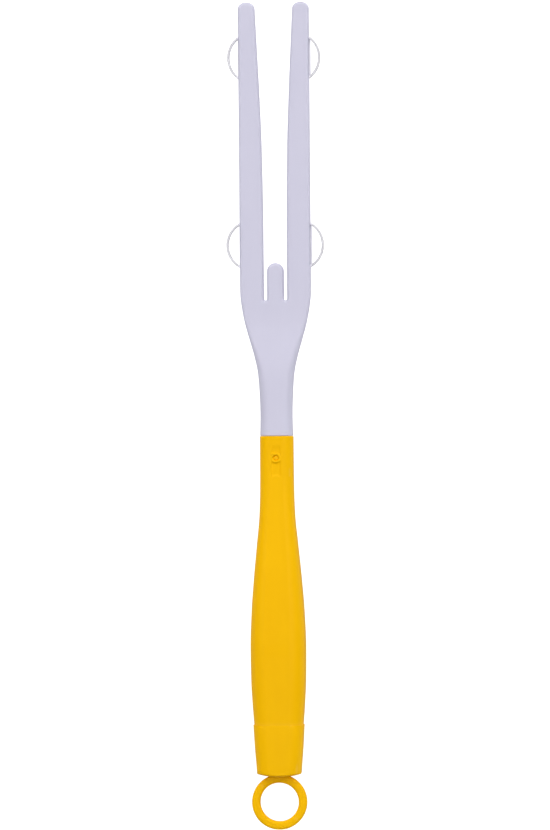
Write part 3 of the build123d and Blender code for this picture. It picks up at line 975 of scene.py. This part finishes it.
def cap_mesh():
    """The cap from the middle of its butt up the outside, round the plug and down to its floor."""
    base = loft_rows([CAP_BASE_Z], CAP)[0]
    rim = scaled_in(base, CAP_BUTT)
    rim_z = crown_z(rim)
    rows = [np.column_stack([rim * share, crown_z(rim * share)]) for share in CROWN_SHARES]
    for a in np.radians(BUTT_STEPS):
        ring = scaled_in(base, CAP_BUTT * (1 - math.sin(a)))
        rows.append(np.column_stack([ring, rim_z + CAP_BUTT * (1 - math.cos(a))]))
    start_z = rim_z + CAP_BUTT
    base_size = smooth_through(CAP, [CAP_BASE_Z])[0]
    for share in np.linspace(0, 1, CAP_SIDE_LEVELS):
        heights = start_z + (CAP_TOP_Z - CAP_LIP - start_z) * share
        sizes = smooth_through(CAP, heights)
        rows.append(np.column_stack([base[:, :2] * sizes[:, :2] / base_size[:2], heights]))
    top = loft_rows([CAP_TOP_Z], CAP)[0]
    for a in np.radians(RIM_STEPS):
        ring = scaled_in(top, CAP_LIP * (1 - math.cos(a)))
        rows.append(np.column_stack([ring, np.full(len(top), CAP_TOP_Z - CAP_LIP * (1 - math.sin(a)))]))
    half_width, half_depth, radius = PLUG
    for z, extra in PLUG_LEVELS:
        rows += straight_rows([z], half_width + extra, half_depth + extra, radius + extra)
    for z, wall in CAVITY_LEVELS:
        inner_radius = max(radius - wall, CAVITY_LEAST_RADIUS)
        rows += straight_rows([z], half_width - wall, half_depth - wall, inner_radius)
    columns = len(rows[0])
    verts = [tuple(v) for ring in rows for v in ring]
    faces = strip_faces(len(rows), columns)
    for first, z in ((0, CAP_BOTTOM_Z), ((len(rows) - 1) * columns, CAP_FLOOR_TOP_Z)):
        verts.append((0.0, 0.0, z))
        for c in range(columns):
            faces.append((first + c, first + (c + 1) % columns, len(verts) - 1))
    return verts, faces


def disc(radius, half):
    """Points and faces of a disc about the ring's axis."""
    verts = []
    for y in (-half, half):
        for i in range(DISC_STEPS):
            a = 2 * math.pi * i / DISC_STEPS
            verts.append((radius * math.cos(a), y, radius * math.sin(a)))
    faces = strip_faces(2, DISC_STEPS)
    faces.append(tuple(range(DISC_STEPS)))
    faces.append(tuple(range(DISC_STEPS, 2 * DISC_STEPS)))
    return verts, faces


cap_verts, cap_faces = cap_mesh()
end_cap = new_piece("end_cap", cap_verts, cap_faces, handle_plastic, sharp_deg=50)
ring_seat = disc(RING_OUTER + RING_CLEARANCE, RING_HALF + RING_CLEARANCE)
stem_slot = block(
    -STEM_SLOT_HALF_WIDTH,
    STEM_SLOT_HALF_WIDTH,
    -STEM_SLOT_HALF_DEPTH,
    STEM_SLOT_HALF_DEPTH,
    STEM_SLOT_BOTTOM_Z,
    STEM_SLOT_TOP_Z,
)
cut(end_cap, [tool_mesh(*ring_seat), tool_mesh(*stem_slot)])


# --- hanging ring ---------------------------------------------------------------------------
RING_STEPS = 120


def ring_mesh():
    """A closed ring with a rounded section. Its stem is hidden in the cap and left out."""
    half_band = (RING_OUTER - RING_HOLE) / 2
    middle = (RING_OUTER + RING_HOLE) / 2
    section = rounded_rectangle(half_band, RING_HALF, RING_EDGE, arc=8, long=2, short=4)
    verts = []
    for i in range(RING_STEPS):
        a = 2 * math.pi * i / RING_STEPS
        for u, y in section:
            verts.append(((middle + u) * math.cos(a), y, (middle + u) * math.sin(a)))
    n = len(section)
    faces = []
    for i in range(RING_STEPS):
        k = (i + 1) % RING_STEPS
        for j in range(n):
            m = (j + 1) % n
            faces.append((i * n + j, k * n + j, k * n + m, i * n + m))
    return verts, faces


ring_verts, ring_faces = ring_mesh()
new_piece("hanging_ring", ring_verts, ring_faces, handle_plastic, sharp_deg=50)


# --- floor, light and camera ----------------------------------------------------------------
CENTRE_Z = 140.6
# millimetres, and degrees for the turn and the roll
CAMERA_DISTANCE = 2000.0
CAMERA_TURN = 5.0
CAMERA_ROLL = 0.465
FRAME_HEIGHT = 301.6
AIM_SHIFT = -0.58
SENSOR_WIDTH = 36.0
# metres
FLOOR_GAP = 0.0001
FLOOR_HALF = 3


def direction(turn, rise):
    """Unit vector in the row frame from the tool towards a viewer or lamp: turned to the right of
    the front about the tool's length, then raised towards the tine tips, in degrees."""
    t, r = math.radians(turn), math.radians(rise)
    return Vector((math.sin(t) * math.cos(r), math.sin(r), math.cos(t) * math.cos(r)))


def floor_material():
    """A white paper sweep that is lit evenly, with a faint grain."""
    material = bpy.data.materials.new("floor")
    material.use_nodes = True
    nodes, links = material.node_tree.nodes, material.node_tree.links
    shader = nodes["Principled BSDF"]
    grain = nodes.new("ShaderNodeTexNoise")
    grain.inputs["Scale"].default_value = 40.0
    ramp = nodes.new("ShaderNodeValToRGB")
    ramp.color_ramp.elements[0].color = (0.30, 0.30, 0.30, 1)
    ramp.color_ramp.elements[1].color = (0.34, 0.34, 0.34, 1)
    links.new(grain.outputs["Fac"], ramp.inputs["Fac"])
    links.new(ramp.outputs["Color"], shader.inputs["Base Color"])
    shader.inputs["Roughness"].default_value = 0.8
    shader.inputs["Emission Color"].default_value = (1, 1, 1, 1)
    shader.inputs["Emission Strength"].default_value = 1.0
    return material


floor_z = cad_low.z - FLOOR_GAP
floor_corners = [(x * FLOOR_HALF, y * FLOOR_HALF) for x, y in ((-1, -1), (1, -1), (1, 1), (-1, 1))]
floor_mesh = bpy.data.meshes.new("floor")
floor_mesh.from_pydata([(x, y, floor_z) for x, y in floor_corners], [], [(0, 1, 2, 3)])
floor_mesh.materials.append(floor_material())
floor = bpy.data.objects.new("floor", floor_mesh)
bpy.context.scene.collection.objects.link(floor)
floor.visible_glossy = False


def softbox(name, turn, rise, distance, width, height, power, colour=(1, 1, 1)):
    """An area light that faces the middle of the tool. Its height runs along the tool."""
    data = bpy.data.lights.new(name, "AREA")
    data.shape = "RECTANGLE"
    data.size, data.size_y = width, height
    data.energy = power
    data.color = colour
    lamp = bpy.data.objects.new(name, data)
    target = Vector((0, CENTRE_Z * MM, 0))
    away = direction(turn, rise)
    side = Vector((0, 1, 0)).cross(away).normalized()
    facing = Matrix((side, away.cross(side), away)).transposed()
    lamp.matrix_world = Matrix.Translation(target + away * distance) @ facing.to_4x4()
    bpy.context.scene.collection.objects.link(lamp)
    return lamp


softbox("key_right", turn=30, rise=20, distance=2.6, width=1.5, height=2.4, power=30.0)
softbox(
    "fill_left",
    turn=-29,
    rise=20,
    distance=2.6,
    width=1.9,
    height=2.4,
    power=27.5,
    colour=(1.0, 0.955, 0.965),
)
front_wash = softbox("front_wash", turn=4, rise=-12, distance=2.6, width=0.8, height=0.8, power=7.0)
front_wash.visible_glossy = False
softbox("top", turn=5, rise=50, distance=3.2, width=2.0, height=2.0, power=29.0)

# the world is plain white to the camera, and a dim cool grey as light
world = bpy.data.worlds.new("studio")
bpy.context.scene.world = world
world.use_nodes = True
world_nodes, world_links = world.node_tree.nodes, world.node_tree.links
background = world_nodes["Background"]
background.inputs["Color"].default_value = (0.75, 0.75, 0.78, 1)
background.inputs["Strength"].default_value = 0.28
seen = world_nodes.new("ShaderNodeBackground")
seen.inputs["Color"].default_value = (1, 1, 1, 1)
seen.inputs["Strength"].default_value = 1.0
ray = world_nodes.new("ShaderNodeLightPath")
choose = world_nodes.new("ShaderNodeMixShader")
world_links.new(ray.outputs["Is Camera Ray"], choose.inputs["Fac"])
world_links.new(background.outputs["Background"], choose.inputs[1])
world_links.new(seen.outputs["Background"], choose.inputs[2])
world_links.new(choose.outputs["Shader"], world_nodes["World Output"].inputs["Surface"])

bpy.context.scene.view_settings.view_transform = "Standard"

camera_data = bpy.data.cameras.new("camera")
camera_data.sensor_width = SENSOR_WIDTH
camera_data.lens = SENSOR_WIDTH * CAMERA_DISTANCE / FRAME_HEIGHT
camera_data.clip_start, camera_data.clip_end = 0.05, 50.0
camera = bpy.data.objects.new("camera", camera_data)
bpy.context.scene.collection.objects.link(camera)
away = direction(CAMERA_TURN, 0)
up = Vector((0, 1, 0))
right = up.cross(away)
aim = up * CENTRE_Z + right * AIM_SHIFT
upright = Matrix((right, up, away)).transposed()
rolled = upright @ Matrix.Rotation(math.radians(-CAMERA_ROLL), 3, "Z")
camera.matrix_world = Matrix.Translation((aim + away * CAMERA_DISTANCE) * MM) @ rolled.to_4x4()
bpy.context.scene.camera = camera

bpy.context.view_layer.update()
